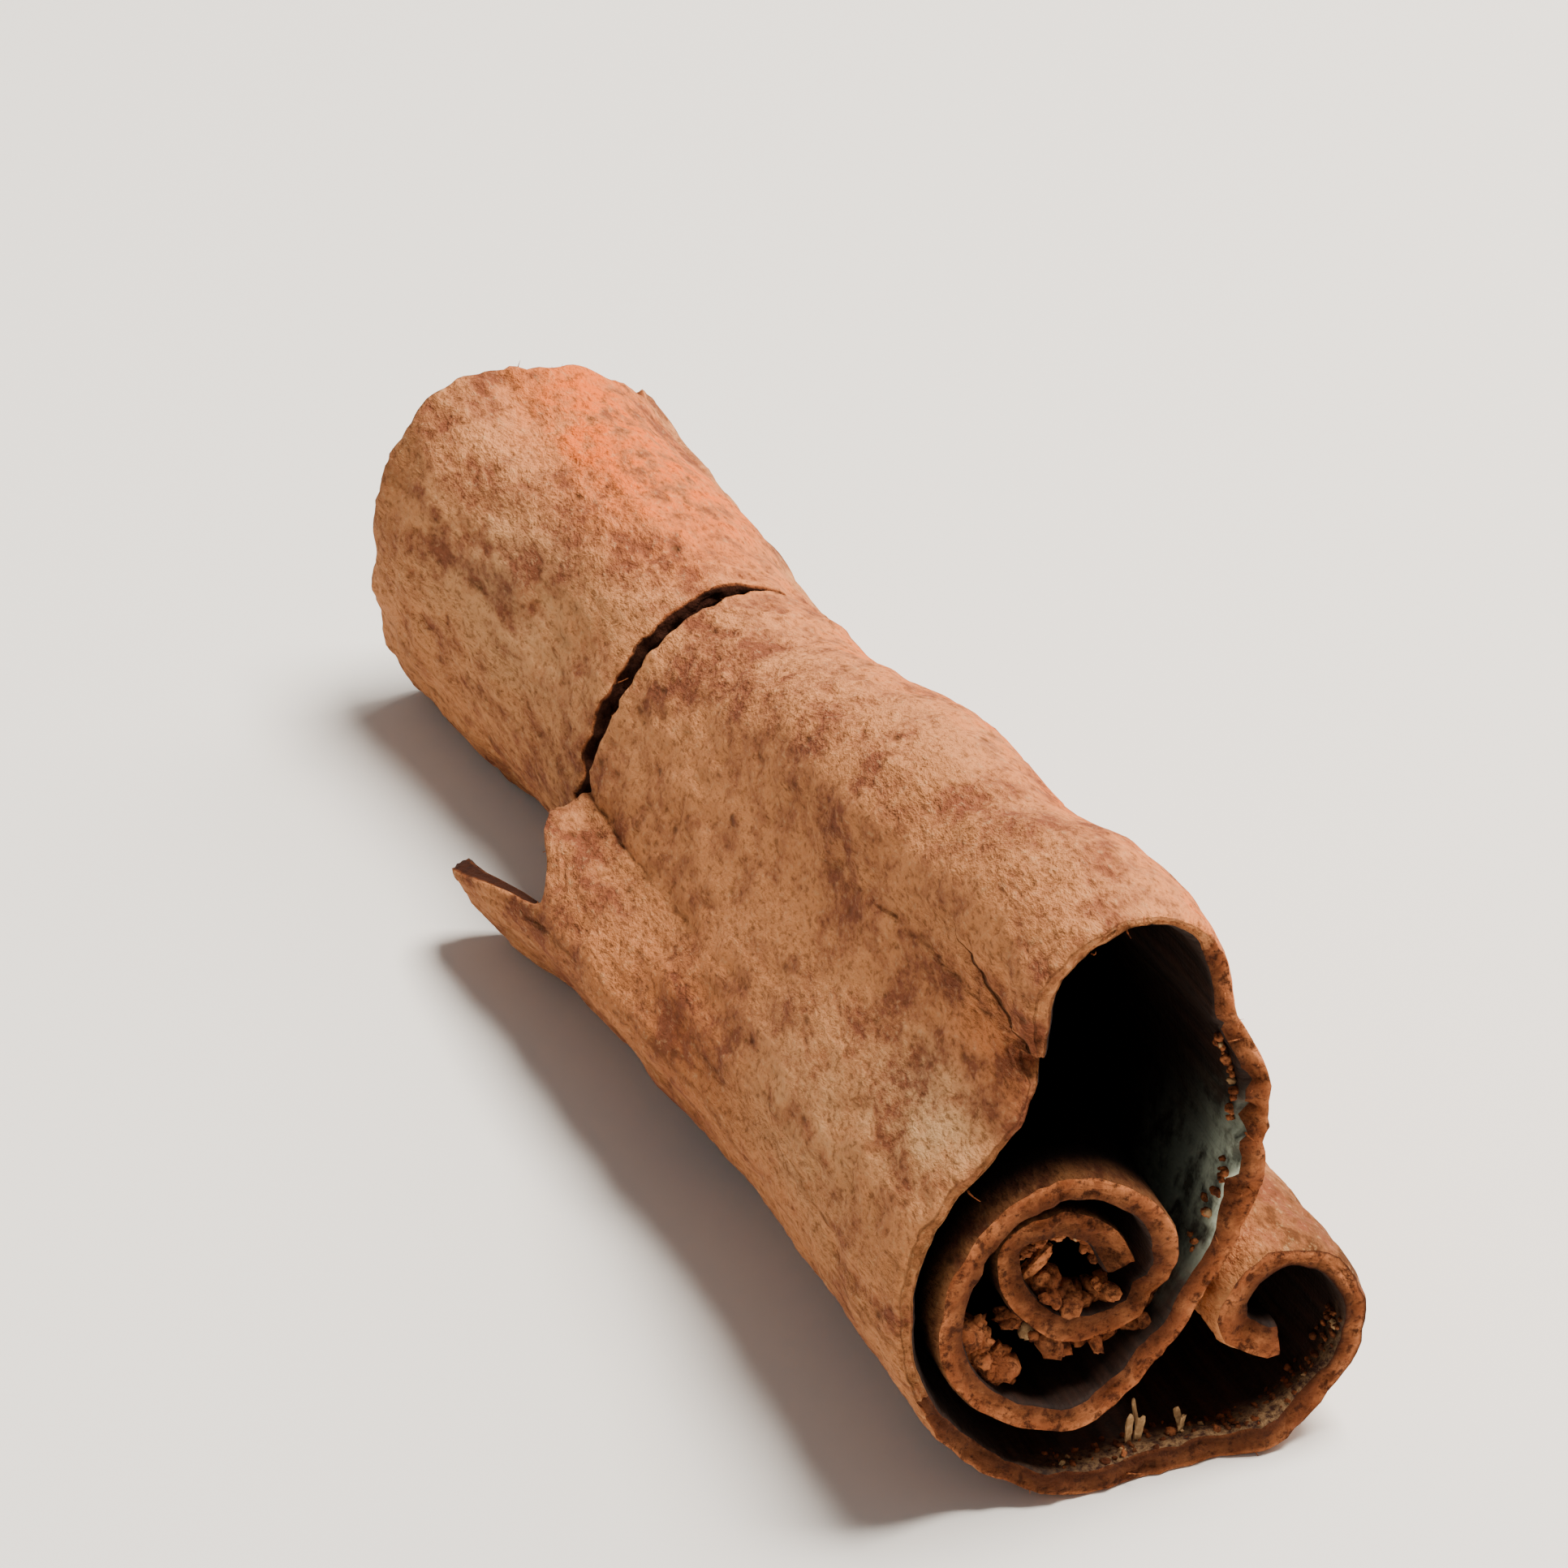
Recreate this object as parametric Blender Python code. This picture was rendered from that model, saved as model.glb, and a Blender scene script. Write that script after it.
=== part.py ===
"""A cinnamon stick: one sheet of cassia bark, dried and rolled into a quill.

The sheet is modelled by its mid-surface. Looking along +Y at the front end, the bark starts in the
middle of a scroll, winds outwards, climbs the right wall, turns over the crown, comes down the left
flank, lies flat along the floor and ends curled up in a small lobe at the right. The quill narrows and
rounds off towards its back end. Two thirds of the way back the outer wrap has cracked across: there
the front bark has kept its width low on the left and stands proud of the back bark, and a torn tongue
of it, with a notch beside it, reaches over the crack.

Frame: metres, +Y along the stick from the front end to the back end, +X to the right seen from the
front, +Z up. The origin is at the centre of the box, on the surface that the stick rests on.
"""

import math

import bpy
import numpy as np

MM = 0.001

# Driving sizes, in millimetres unless said otherwise.
LENGTH = 80.0
NARROWS_UNTIL = 0.75       # the quill narrows over this share of its length
FRONT_THICKNESS = 1.2      # the bark's thickness at the front end
BACK_THICKNESS = 0.95      # and where the quill has narrowed
CRACK_FROM_FRONT = 51.5    # where the crack crosses the outer wrap
CRACK_GAP = 0.6            # width of the open crack
FLARE = 0.17               # how far the cracked front bark has opened at the left, as a share of size
FLARE_KEEPS = 0.85         # share of the narrowing that this bark hasn't followed
NOTCH_DEPTH = 6.0          # the tear beside the tongue runs this far forward of the crack
TONGUE_LENGTH = 4.5        # the tongue reaches this far past the crack
FRONT_RAGGED = 0.25        # unevenness of the front edge
BACK_RAGGED = 1.3          # and of the back edge

# The sheet's mid-line, from the heart of the scroll to its outer lip. Each stretch turns by an angle
# in degrees, to the left when positive, over a length in millimetres: first at the front end, then
# where the quill has narrowed.
STRETCHES = {
    "core_start": (80, 4.5, 80, 3.1),
    "core_left": (90, 2.5, 90, 3.7),
    "core_floor": (90, 5.8, 90, 4.6),
    "core_right": (90, 4.6, 90, 5.3),
    "wrap_top": (90, 6.5, 90, 6.0),
    "wrap_left": (90, 8.7, 90, 6.6),
    "wrap_floor": (75, 6.6, 74, 5.7),
    "rise": (50, 3.7, 47, 6.9),
    "right_wall": (57, 15.0, 53, 3.7),
    "bump": (28, 3.0, 12, 1.4),
    "tuck": (-35, 1.8, -6, 0.7),
    "crown": (95, 6.4, 56, 5.3),
    "crown_left": (85, 5.7, 51, 4.4),
    "crease": (-45, 7.6, 23, 5.4),
    "shoulder": (51, 7.8, 33, 5.6),
    "flank": (42, 7.2, 45, 4.5),
    "belly": (47, 5.9, 29, 1.3),
    "rest": (0, 6.1, 0, 5.8),
    "keel": (30, 3.1, 20, 3.7),
    "lobe_side": (60, 5.5, 60, 2.1),
    "lobe_top": (90, 4.9, 94, 2.3),
    "lobe_back": (90, 3.5, 62, 1.7),
    "lip": (100, 2.8, 30, 1.0),
}

# Fineness of the mesh: along the mid-line, and rows in front of and behind the crack.
STEP_TURN = 15
STEP_LENGTH = 2.2
FRONT_ROWS = 9
BACK_ROWS = 5

BARK_COLOUR = (0.33, 0.17, 0.085, 1.0)
BARK_ROUGHNESS = 0.85


def place(stretch, share=0.0):
    """Return the place along the mid-line that lies a share of the way through a stretch."""
    return list(STRETCHES).index(stretch) + share


def ease(start, end, value):
    """Rise smoothly from 0 at start to 1 at end."""
    share = np.clip((value - start) / (end - start), 0.0, 1.0)
    return share * share * (3.0 - 2.0 * share)


def window(start, full_from, full_to, end, value):
    """Rise from 0 to 1, stay there, and fall back to 0."""
    return ease(start, full_from, value) * (1.0 - ease(full_to, end, value))


def columns():
    """Return each column's place along the mid-line: the stretches cut into small enough steps."""
    places = [0.0]
    for index, (front_turn, front_length, back_turn, _) in enumerate(STRETCHES.values()):
        turn = max(abs(front_turn), abs(back_turn))
        steps = math.ceil(max(turn / STEP_TURN, front_length / STEP_LENGTH))
        places += [index + (step + 1) / steps for step in range(steps)]
    return np.array(places)


def section(places, narrowed):
    """Return the mid-line's points (X, Z) where the quill has narrowed by a share from 0 to 1.

    The middle of the resting strip is at X = 0, and its underside at Z = 0.
    """
    table = np.array(list(STRETCHES.values()), dtype=float)
    turns = table[:, 0] + (table[:, 2] - table[:, 0]) * narrowed
    lengths = table[:, 1] + (table[:, 3] - table[:, 1]) * narrowed
    headings = np.radians(np.concatenate([[0.0], np.cumsum(turns)]))
    headings -= headings[int(place("rest"))]
    knots = np.arange(len(table) + 1)
    middles = (places[1:] + places[:-1]) / 2
    angles = np.interp(middles, knots, headings)
    shares = np.diff(places)
    stretch = middles.astype(int)
    chords = lengths[stretch] * shares * np.sinc(turns[stretch] * shares / 360.0)
    moves = chords[:, None] * np.column_stack([np.cos(angles), np.sin(angles)])
    points = np.concatenate([np.zeros((1, 2)), np.cumsum(moves, axis=0)])
    start, end = points[places == place("rest")][0], points[places == place("keel")][0]
    return points - (start + end) / 2 + np.array([0.0, thickness(narrowed) / 2])


def thickness(narrowed):
    """Return the bark's thickness in millimetres."""
    return FRONT_THICKNESS + (BACK_THICKNESS - FRONT_THICKNESS) * narrowed


def edges(places):
    """Return how far back each column's front end, crack and back end lie, in millimetres.

    The crack has a front edge, which carries the tongue, and a back edge.
    """
    front = FRONT_RAGGED * np.sin(4.0 * places)
    waves = 0.5 * np.sin(2.5 * places + 0.8) + 0.3 * np.sin(6.0 * places) + 0.2 * np.sin(13.0 * places)
    back = LENGTH - BACK_RAGGED * (1.0 - waves) / 2.0
    notch = window(place("shoulder", 0.7), place("flank", 0.05), place("flank", 0.1), place("flank", 0.5),
                   places)
    tongue = window(place("flank", 0.1), place("flank", 0.45), place("flank", 0.6), place("belly", 0.5),
                    places)
    crack_front = CRACK_FROM_FRONT - CRACK_GAP / 2 - NOTCH_DEPTH * notch + TONGUE_LENGTH * tongue
    crack_back = np.full(len(places), CRACK_FROM_FRONT + CRACK_GAP / 2)
    return front, crack_front, crack_back, back


def sheet_rows():
    """Return the mid-surface as rows of points (X, Y, Z), each point's bark thickness, and the places.

    The front bark at the left hasn't followed the narrowing, and flares where it has cracked free, down
    to the belly, where it comes back to the floor.
    """
    places = columns()
    front, crack_front, crack_back, back = edges(places)
    free = window(place("shoulder", 0.2), place("flank", 0.3), place("flank", 0.75), place("belly", 0.5),
                  places)
    rows, thicknesses = [], []
    spans = ((front, crack_front, FRONT_ROWS, free), (crack_back, back, BACK_ROWS, 0.0 * free))
    for start, end, count, freedom in spans:
        for step in range(count + 1):
            depth = start + (end - start) * step / count
            share = depth.mean() / LENGTH
            narrowed = ease(0.0, NARROWS_UNTIL, share)
            tight = section(places, narrowed)
            loose = section(places, narrowed * (1.0 - FLARE_KEEPS))
            middle = np.array([0.0, np.ptp(loose[:, 1]) / 2])
            loose = middle + (loose - middle) * (1.0 + FLARE * ease(0.2, 0.6, share))
            spot = tight + (loose - tight) * freedom[:, None]
            rows.append(np.column_stack([spot[:, 0], depth, spot[:, 1]]))
            thicknesses.append(np.full(len(places), thickness(narrowed)))
    return np.array(rows), np.array(thicknesses), places


def centred(rows):
    """Move the rows so that their box is centred on the origin in X and Y."""
    low, high = rows.min(axis=(0, 1)), rows.max(axis=(0, 1))
    middle = (low + high) / 2
    middle[2] = 0.0
    return rows - middle


def sheet_faces(row_count, places):
    """Return the quads between rows, leaving the crack open across the outer wrap."""
    columns = len(places)
    cracked = (places >= place("crown", 0.4)) & (places <= place("belly", 0.9))
    faces = []
    for row in range(row_count - 1):
        for column in range(columns - 1):
            if row == FRONT_ROWS and cracked[column] and cracked[column + 1]:
                continue
            corner = row * columns + column
            faces.append((corner, corner + 1, corner + columns + 1, corner + columns))
    return faces


def bark_material():
    """Dry cassia bark: matte brown."""
    material = bpy.data.materials.new("bark")
    material.use_nodes = True
    shader = material.node_tree.nodes["Principled BSDF"]
    shader.inputs["Base Color"].default_value = BARK_COLOUR
    shader.inputs["Roughness"].default_value = BARK_ROUGHNESS
    shader.inputs["Metallic"].default_value = 0.0
    return material


def add_quill():
    """Build the rolled sheet and thicken it into one closed body, thinner where the roll is smaller."""
    rows, thicknesses, places = sheet_rows()
    vertices = centred(rows).reshape(-1, 3) * MM
    mesh = bpy.data.meshes.new("quill")
    mesh.from_pydata(vertices.tolist(), [], sheet_faces(len(rows), places))
    mesh.materials.append(bark_material())
    mesh.shade_smooth()
    quill = bpy.data.objects.new("quill", mesh)
    bpy.context.collection.objects.link(quill)

    group = quill.vertex_groups.new(name="thickness")
    for index, share in enumerate(thicknesses.reshape(-1) / FRONT_THICKNESS):
        group.add([index], float(share), "REPLACE")
    solidify = quill.modifiers.new("bark thickness", "SOLIDIFY")
    solidify.thickness = FRONT_THICKNESS * MM
    solidify.offset = 0.0
    solidify.vertex_group = group.name
    return quill


def main():
    for leftover in list(bpy.data.objects):
        bpy.data.objects.remove(leftover)
    add_quill()


main()
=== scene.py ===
"""Looks for a cinnamon stick: one sheet of cassia bark rolled into a quill.

The sheet is a surface of two parameters: the distance along the rolled mid-line, from the heart of the
scroll to the lip of the small lobe, and the depth from the front end to the back end. It gets its two
skins, its broken edges and its relief here. Crumbs and splinters lie in its hollows, and torn fibres
stand out of its edges.
"""

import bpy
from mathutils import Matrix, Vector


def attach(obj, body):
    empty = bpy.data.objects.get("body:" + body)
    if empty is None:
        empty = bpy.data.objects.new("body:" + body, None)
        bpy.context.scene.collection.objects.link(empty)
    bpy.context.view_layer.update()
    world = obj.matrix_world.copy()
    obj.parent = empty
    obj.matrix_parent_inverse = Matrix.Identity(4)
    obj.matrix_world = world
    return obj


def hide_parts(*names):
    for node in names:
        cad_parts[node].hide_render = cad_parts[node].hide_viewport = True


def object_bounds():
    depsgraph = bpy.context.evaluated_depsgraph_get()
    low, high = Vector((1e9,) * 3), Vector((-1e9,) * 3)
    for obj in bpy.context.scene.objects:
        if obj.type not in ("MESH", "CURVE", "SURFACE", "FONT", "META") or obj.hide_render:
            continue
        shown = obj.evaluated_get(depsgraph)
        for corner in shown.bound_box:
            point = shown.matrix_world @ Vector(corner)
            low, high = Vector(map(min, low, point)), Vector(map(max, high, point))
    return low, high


bl_info = {
    "name": "Cinnamon Stick",
    "version": (1, 0, 0),
    "blender": (4, 5, 0),
    "location": "View3D > Sidebar > Cinnamon",
    "description": "Rolls a sheet of cassia bark into a quill, with its crumbs, splinters and fibres",
    "category": "Add Mesh",
}

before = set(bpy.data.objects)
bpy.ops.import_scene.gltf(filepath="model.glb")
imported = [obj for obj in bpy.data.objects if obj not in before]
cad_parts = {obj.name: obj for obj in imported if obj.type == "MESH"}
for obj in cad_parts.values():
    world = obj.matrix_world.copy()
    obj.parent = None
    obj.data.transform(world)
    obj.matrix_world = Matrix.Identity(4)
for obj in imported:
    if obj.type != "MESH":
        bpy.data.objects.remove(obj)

import math

import bpy
import numpy as np
from bpy.props import FloatProperty, FloatVectorProperty, IntProperty, PointerProperty
from mathutils import Euler, Quaternion, Vector

MM = 0.001
CAD_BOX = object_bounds()

# The sheet's mid-line, from the heart of the scroll to the lip. Each stretch turns by an angle in
# degrees, to the left when positive, over a length in mm: at the front end, then where it has narrowed.
STRETCHES = {
    "core_start": (80, 4.5, 80, 3.1),
    "core_left": (90, 2.5, 90, 3.7),
    "core_floor": (90, 5.8, 90, 4.6),
    "core_right": (90, 4.6, 90, 5.3),
    "wrap_top": (90, 6.5, 90, 6.0),
    "wrap_left": (90, 8.7, 90, 6.6),
    "wrap_floor": (75, 6.6, 74, 5.7),
    "rise": (50, 3.7, 47, 6.9),
    "right_wall": (57, 15.0, 53, 3.7),
    "bump": (28, 3.0, 12, 1.4),
    "tuck": (-35, 1.8, -6, 0.7),
    "crown": (95, 6.4, 56, 5.3),
    "crown_left": (85, 5.7, 51, 4.4),
    "crease": (-45, 7.6, 23, 5.4),
    "shoulder": (51, 7.8, 33, 5.6),
    "flank": (42, 7.2, 45, 4.5),
    "belly": (47, 5.9, 29, 1.3),
    "rest": (0, 6.1, 0, 5.8),
    "keel": (30, 3.1, 20, 3.7),
    "lobe_side": (60, 5.5, 60, 2.1),
    "lobe_top": (90, 4.9, 94, 2.3),
    "lobe_back": (90, 3.5, 62, 1.7),
    "lip": (100, 2.8, 30, 1.0),
}
TABLE = np.array(list(STRETCHES.values()), dtype=float)

# Spacing of the mesh columns in mm: fine where the outer wrap shows, coarser in the scroll.
SHOWN_SPACING = 0.37
UNDER_SPACING = 0.50
SCROLL_SPACING = 0.42
# Rows of the mesh in front of the crack and behind it, and steps across a broken edge.
FRONT_ROWS = 94
BACK_ROWS = 46
EDGE_LEVELS = 6
# The thin split starts at this place in the front edge. Any distance of some mm is well clear of it.
BITE = ("crease", 0.31)
FAR_FROM_SPLIT = 9.0
# The quill narrows over this share of its length.
NARROWING_SHARE = 0.75
# Swells along the crown, hollows negative: height, depth of the middle and reach, in mm.
CROWN_SWELLS = ((0.55, 32.0, 7.0), (-0.45, 15.0, 4.5), (-0.25, 43.0, 3.5))
# The inner skin's unrolled coordinates lie this far, in metres, from the outer skin's.
SKIN_SHIFT = 0.1
# The kinds of face: which material each has.
OUTER, INNER, BROKEN = 0, 1, 2

# Soft patches of each mark: strength, stretch and share of the middle, its depth in mm, and the reach
# across in stretches and along in mm.
PATCHES = {
    "bloom": ((1.3, "right_wall", 0.68, 0.5, 0.16, 3.0),
              (0.3, "right_wall", 0.52, 5.0, 0.2, 4.0)),
    "pale": ((1.2, "crease", 0.9, 5.0, 0.35, 4.5),
             (0.6, "shoulder", 0.6, 15.0, 0.6, 8.0),
             (0.5, "crease", 0.6, 64.0, 0.9, 12.0)),
    "rust": ((1.2, "crown", 0.75, 69.0, 0.75, 11.0),
             (0.8, "crown", 0.20, 12.0, 0.45, 22.0),
             (0.6, "crown", 0.2, 38.0, 0.5, 14.0),
             (0.4, "bump", 0.5, 4.0, 1.0, 9.0),
             (0.25, "crease", 0.5, 4.0, 0.35, 5.0),
             (0.15, "shoulder", 0.9, 28.0, 0.7, 14.0)),
    "stain_and_shade": ((0.9, "crease", 0.5, 79.5, 0.5, 3.0),
              (0.5, "crease", 0.1, 58.5, 0.5, 3.5),
              (0.55, "flank", 0.5, 30.0, 0.9, 34.0),
              (0.5, "crown_left", 0.3, 14.0, 0.35, 12.0),
              # Painted shadow: the lobe's top is darkened as if shaded by a neighbouring stick.
              (1.5, "lobe_top", 0.3, 2.0, 1.4, 14.0)),
}
# No mark gets stronger than this.
STRONGEST = {"bloom": 1, "pale": 1, "rust": 1, "stain_and_shade": 1.4}

# Soft square lights: name, spot and size in metres, power in watts, and colour. The strongest hangs
# over the stick at the right. The window at the right and the fill from the left front are weak.
LAMPS = (
    ("window", (0.45, 0.15, 0.40), 0.40, 2.8, (1.0, 0.92, 0.83)),
    ("overhead", (0.24, -0.06, 0.64), 0.30, 13.0, (1.0, 0.94, 0.86)),
    ("fill", (-0.45, -0.55, 0.35), 0.60, 0.6, (1.0, 0.98, 0.96)),
)
SKY_COLOUR = (1.0, 0.985, 0.965)
SKY_STRENGTH = 0.21
LENS_MM = 232.0
FLOOR_REACH_MM = 1500.0


def linear(hex_colour):
    """Turn an sRGB hex colour such as "#a07850" into linear red, green and blue."""
    parts = [int(hex_colour[start:start + 2], 16) / 255 for start in (1, 3, 5)]
    return [part / 12.92 if part <= 0.04045 else ((part + 0.055) / 1.055) ** 2.4 for part in parts]


def size_property(name, description, default, low=0.0, high=0.2):
    """Describe a length in metres."""
    return FloatProperty(name=name, description=description, default=default, min=low, max=high,
                         unit="LENGTH", precision=5)


def angle_property(name, description, degrees):
    """Describe an angle."""
    return FloatProperty(name=name, description=description, default=math.radians(degrees), subtype="ANGLE")


def colour_property(name, description, hex_colour):
    """Describe a colour."""
    return FloatVectorProperty(name=name, description=description, default=linear(hex_colour),
                               size=3, min=0.0, max=1.0, subtype="COLOR")


class CINNAMON_PG_sizes(bpy.types.PropertyGroup):
    """Sizes of the rolled sheet and of what lies loose in it."""
    length: size_property("Length", "Length of the stick", 0.080)
    front_thickness: size_property("Front thickness", "Bark thickness at the front end", 0.0012)
    back_thickness: size_property("Back thickness", "Bark thickness where it has narrowed", 0.00095)
    crack_depth: size_property("Crack", "Distance from the front end to the crack", 0.0515)
    crack_gap: size_property("Crack gap", "Width of the open crack", 0.0013)
    notch_depth: size_property("Notch", "How far forward the tear beside the tongue runs", 0.006)
    tongue_length: size_property("Tongue", "How far the tongue reaches past the crack", 0.0045)
    relief: size_property("Relief", "Height of the outer bark's bumps", 0.00013)
    crumb_count: IntProperty(name="Crumbs", description="Number of loose crumbs", default=360,
                             min=0, max=600)
    fibre_count: IntProperty(name="Fibres", description="Number of torn fibres", default=90,
                             min=0, max=400)


class CINNAMON_PG_colours(bpy.types.PropertyGroup):
    """Colours of the bark."""
    tan: colour_property("Tan", "Lighter outer bark", "#bd7c4e")
    brown: colour_property("Brown", "Darker outer bark", "#7d4730")
    pit: colour_property("Pits", "Pits and scars in the outer bark", "#57331c")
    pale: colour_property("Pale crust", "Pale crust left on the outer bark", "#cfa878")
    rust: colour_property("Scraped bark", "Reddish bark where the pale crust has gone", "#db6524")
    # Partly painted shade: the inner bark is made almost black, so that the hollow looks deep in shade.
    inner: colour_property("Inner bark", "Smooth inner face of the bark", "#2e1a10")
    bloom: colour_property("Bloom", "Grey bloom on the inner face", "#bcc6b0")
    crust: colour_property("Crust", "Crumbly crust on the floor of the quill", "#8a6a48")
    broken: colour_property("Broken edge", "Freshly broken bark", "#a05a34")
    broken_light: colour_property("Broken edge, light", "Chips in the broken edge", "#d0804f")
    broken_dark: colour_property("Broken edge, dark", "Gaps in the broken edge", "#351a10")


class CINNAMON_PG_studio(bpy.types.PropertyGroup):
    """Camera and floor."""
    azimuth: angle_property("Azimuth", "Camera's turn round the stick", -18.1)
    elevation: angle_property("Elevation", "Camera's height above the horizon", 28.4)
    roll: angle_property("Roll", "Camera's turn about its own view line", -2.95)
    distance: FloatProperty(name="Distance", description="From the camera to the stick",
                            default=0.4465, unit="LENGTH")
    floor_colour: colour_property("Floor", "Plain pale floor", "#e9e6e1")


def in_mm(name):
    """Return one of the stick's sizes in mm."""
    return getattr(bpy.context.scene.cinnamon_sizes, name) / MM


def place(stretch, share=0.0):
    """Return the place along the mid-line that lies a share of the way through a stretch."""
    return list(STRETCHES).index(stretch) + share


def ease(start, end, value):
    """Rise smoothly from 0 at start to 1 at end."""
    share = np.clip((value - start) / (end - start), 0.0, 1.0)
    return share * share * (3.0 - 2.0 * share)


def window(start, full_from, full_to, end, value):
    """Rise from 0 to 1, stay there, and fall back to 0."""
    return ease(start, full_from, value) * (1.0 - ease(full_to, end, value))


def strip(places, *edges):
    """Window along the mid-line. Each of its four edges is a stretch and the share of the way through."""
    return window(*map(place, edges[::2], edges[1::2]), places)


def bell(value, middle, reach):
    """Return 1 at the middle, falling off as e to the minus square of the distance over the reach."""
    return np.exp(-((value - middle) / reach) ** 2)


def lattice(i, j, seed):
    """Return a repeatable value from -1 to 1 for each corner of a whole-numbered lattice."""
    mixed = (i * 374761393 + j * 668265263 + seed * 974634777) & 0xFFFFFFFF
    mixed = ((mixed ^ (mixed >> 13)) * 1274126177) & 0xFFFFFFFF
    return ((mixed ^ (mixed >> 16)) & 0xFFFF) / 32767.5 - 1.0


def noise(u, v, seed):
    """Smooth noise from -1 to 1: lattice values blended across each cell with an eased share."""
    i, j = np.floor(u).astype(np.int64), np.floor(v).astype(np.int64)
    a, b = ease(0.0, 1.0, u - i), ease(0.0, 1.0, v - j)
    low = lattice(i, j, seed) * (1 - a) + lattice(i + 1, j, seed) * a
    high = lattice(i, j + 1, seed) * (1 - a) + lattice(i + 1, j + 1, seed) * a
    return low * (1 - b) + high * b


def layered(u, v, seed, octaves=3):
    """Noise with finer copies of itself added, each half the size and a little over half as high."""
    total = 0.0
    for octave in range(octaves):
        total = total + noise(u * 2 ** octave, v * 2 ** octave, seed + octave) * 0.55 ** octave
    return total


def pits(u, v, seed):
    """Round pits: 1 at the middle of each, 0 outside, one at a random spot of most lattice cells."""
    i, j = np.floor(u).astype(np.int64), np.floor(v).astype(np.int64)
    deepest = np.zeros(np.broadcast(u, v).shape)
    for di in (-1, 0, 1):
        for dj in (-1, 0, 1):
            across = i + di + 0.5 + 0.45 * lattice(i + di, j + dj, seed) - u
            along = j + dj + 0.5 + 0.45 * lattice(i + di, j + dj, seed + 1) - v
            reach = 0.28 + 0.18 * lattice(i + di, j + dj, seed + 2)
            inside = 1.0 - np.sqrt(across ** 2 + along ** 2) / reach
            deepest = np.maximum(deepest, np.clip(inside, 0.0, 1.0))
    return ease(0.0, 1.0, deepest)


def columns():
    """Return each mesh column's place along the mid-line and its distance along it at the front, in mm."""
    first_shown, last_shown = place("right_wall", 0.3), place("belly")
    places = [np.zeros(1)]
    for index, length in enumerate(TABLE[:, 1]):
        shown = first_shown <= index + 0.5 <= last_shown
        scroll = index < place("rise")
        spacing = SHOWN_SPACING if shown else SCROLL_SPACING if scroll else UNDER_SPACING
        steps = math.ceil(length / spacing)
        places.append(index + np.arange(1, steps + 1) / steps)
    places = np.concatenate(places)
    return places, distance_at(places)


def distance_at(places):
    """Return the distance along the front mid-line, in mm, of one or more places."""
    ends = np.concatenate([[0.0], np.cumsum(TABLE[:, 1])])
    return np.interp(places, np.arange(len(TABLE) + 1), ends)


def thickness(narrowed):
    """Return the bark's thickness in mm."""
    front, back = in_mm("front_thickness"), in_mm("back_thickness")
    return front + (back - front) * narrowed


def narrowing(depth):
    """Return how far the quill has narrowed, from 0 at the front end to 1."""
    return ease(0.0, NARROWING_SHARE, depth / in_mm("length"))


def sections(places, narrowed):
    """Return points (X, Z) of the mid-line for each amount of narrowing, as rows.

    The heading is the running sum of the turns, level along the resting strip. Each column steps on
    along its heading by its share of its stretch. The strip's middle is at X = 0, its underside at Z = 0.
    """
    turns = TABLE[:, 0] + (TABLE[:, 2] - TABLE[:, 0]) * narrowed[:, None]
    lengths = TABLE[:, 1] + (TABLE[:, 3] - TABLE[:, 1]) * narrowed[:, None]
    rest = int(place("rest"))
    headings = np.cumsum(turns, axis=1) - turns
    headings = headings - headings[:, rest:rest + 1]
    middles = (places[1:] + places[:-1]) / 2
    stretch = middles.astype(int)
    angles = np.radians(headings[:, stretch] + turns[:, stretch] * (middles - stretch))
    steps = lengths[:, stretch] * np.diff(places)
    moves = np.stack([steps * np.cos(angles), steps * np.sin(angles)], axis=-1)
    points = np.concatenate([np.zeros((len(narrowed), 1, 2)), np.cumsum(moves, axis=1)], axis=1)
    start, end = np.searchsorted(places, [place("rest"), place("keel")])
    points = points - (points[:, start:start + 1] + points[:, end:end + 1]) / 2
    points[..., 1] += thickness(narrowed)[:, None] / 2
    return points


def fine_ends(count):
    """Return shares from 0 to 1 that lie closer together at both ends."""
    even = np.linspace(0.0, 1.0, count + 1)
    return even - 0.45 * np.sin(2 * math.pi * even) / (2 * math.pi)


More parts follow.
